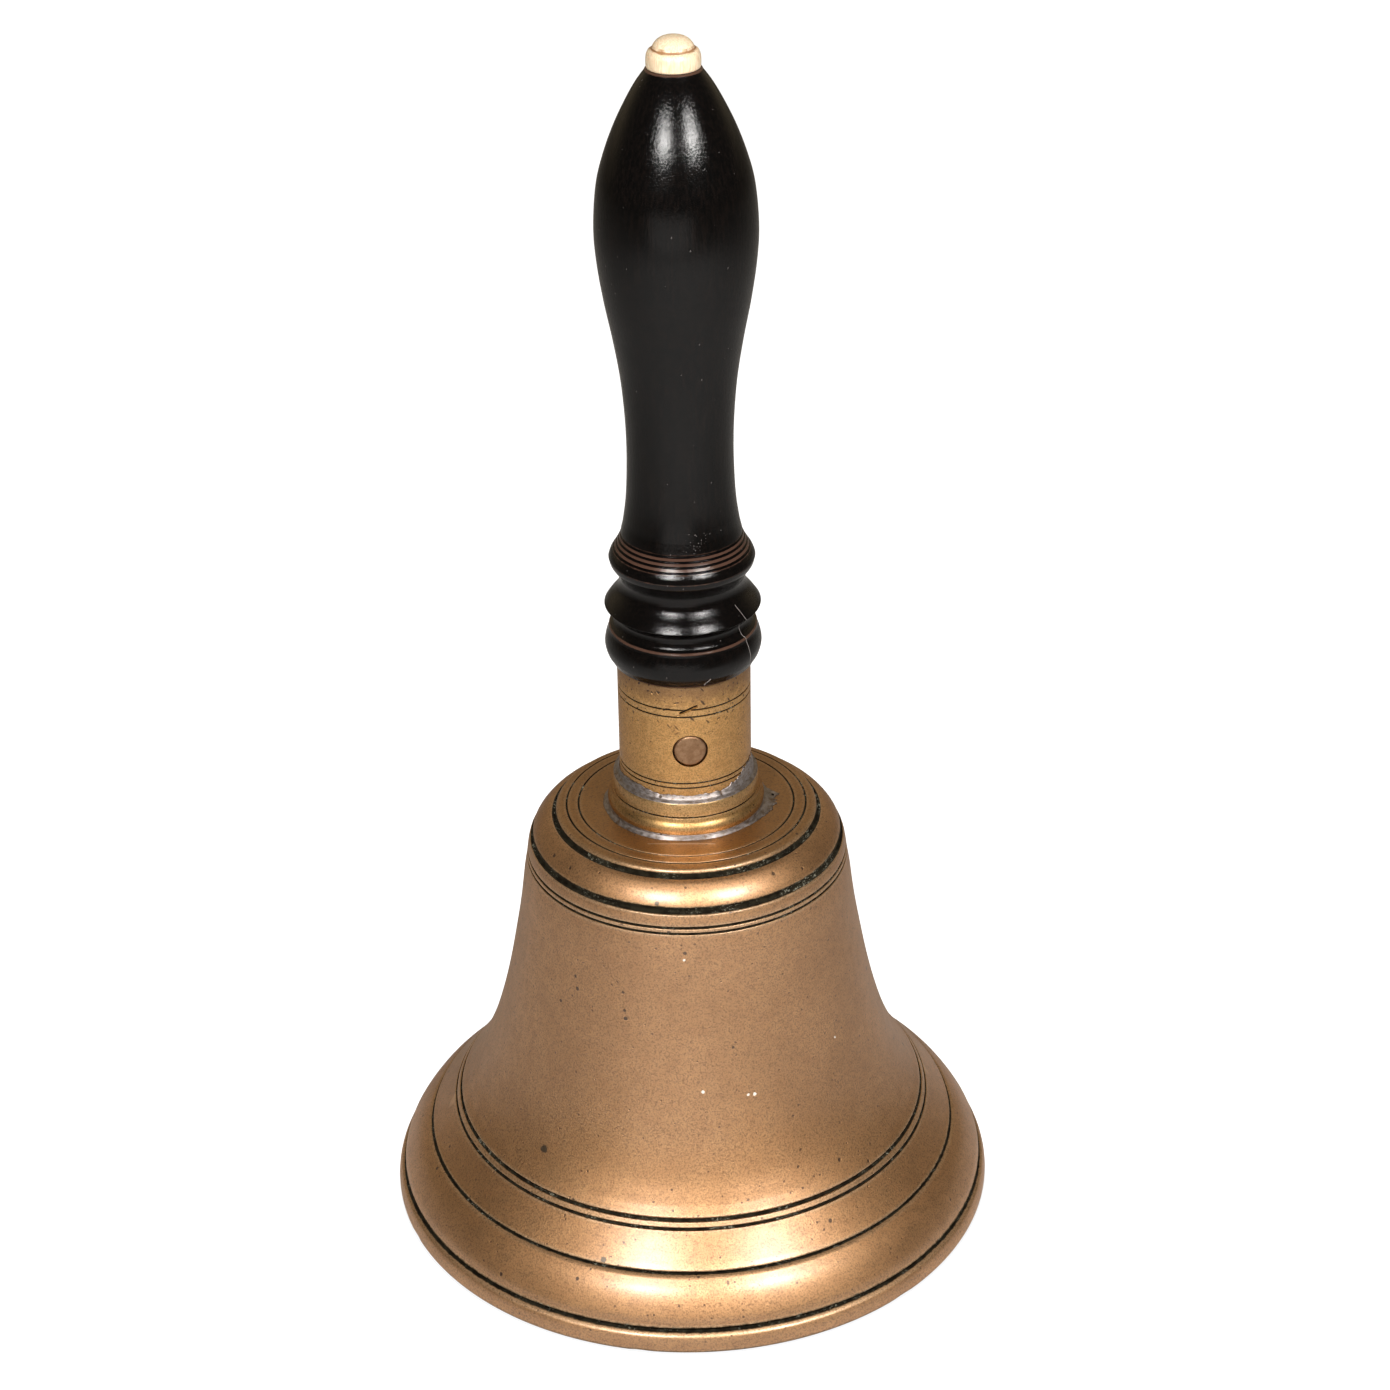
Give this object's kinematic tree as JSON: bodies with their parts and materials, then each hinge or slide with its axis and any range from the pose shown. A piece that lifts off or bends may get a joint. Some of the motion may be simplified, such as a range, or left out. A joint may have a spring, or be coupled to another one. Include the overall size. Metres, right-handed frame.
{
  "type": "handbell",
  "caption": "Hand-rung bell with a flared bronze casting, a turned black handle pinned in a brass ferrule, and a clapper that swings inside.",
  "frame": {"origin": "centre of the mouth, on the plane of the flat rim", "axes": "+Z along the bell's axis from the mouth to the finial; the cross pin lies along Y, and the clapper's main swing is in the XZ plane"},
  "size_m": [0.15, 0.15, 0.2952],
  "materials": {
    "bronze": "satin copper-brown bronze with fine dark pits and grime in its grooves",
    "collar_brass": "yellow brass, rubbed satin",
    "ferrule_brass": "ochre brass, satin, nicked and scratched",
    "solder": "dull grey soft solder",
    "pin_copper": "pink-brown copper, filed flush",
    "ebonised_wood": "semi-gloss black polish over turned wood, brown where worn",
    "bone": "polished cream bone with brown stains",
    "forged_iron": "dark forged iron with light rust",
    "clapper_iron": "dark iron, brighter where it strikes",
    "plain_steel": "plain dull steel"
  },
  "bodies": {
    "bell": {"bell_casting": "bronze", "collar_moulding": "collar_brass", "ferrule": "ferrule_brass", "upper_solder_seam": "solder", "lower_solder_seam": "solder", "cross_pin": "pin_copper", "handle": "ebonised_wood", "finial": "bone", "eye_bolt": "forged_iron", "crown_washer": "plain_steel", "socket_washer": "plain_steel", "socket_nut": "plain_steel"},
    "link": {"suspension_link": "forged_iron"},
    "clapper": {"clapper_rod": "forged_iron", "clapper_ball": "clapper_iron", "clapper_nut": "plain_steel"}
  },
  "joints": [
    {"name": "link_swing", "type": "hinge", "parent": "bell", "child": "link", "pos_m": [0, 0, 0.088], "axis": [1, 0, 0], "range_deg": [-5, 5]},
    {"name": "clapper_swing", "type": "hinge", "parent": "link", "child": "clapper", "pos_m": [0, 0, 0.0791], "axis": [0, 1, 0], "range_deg": [-36.5, 36.5]}
  ]
}
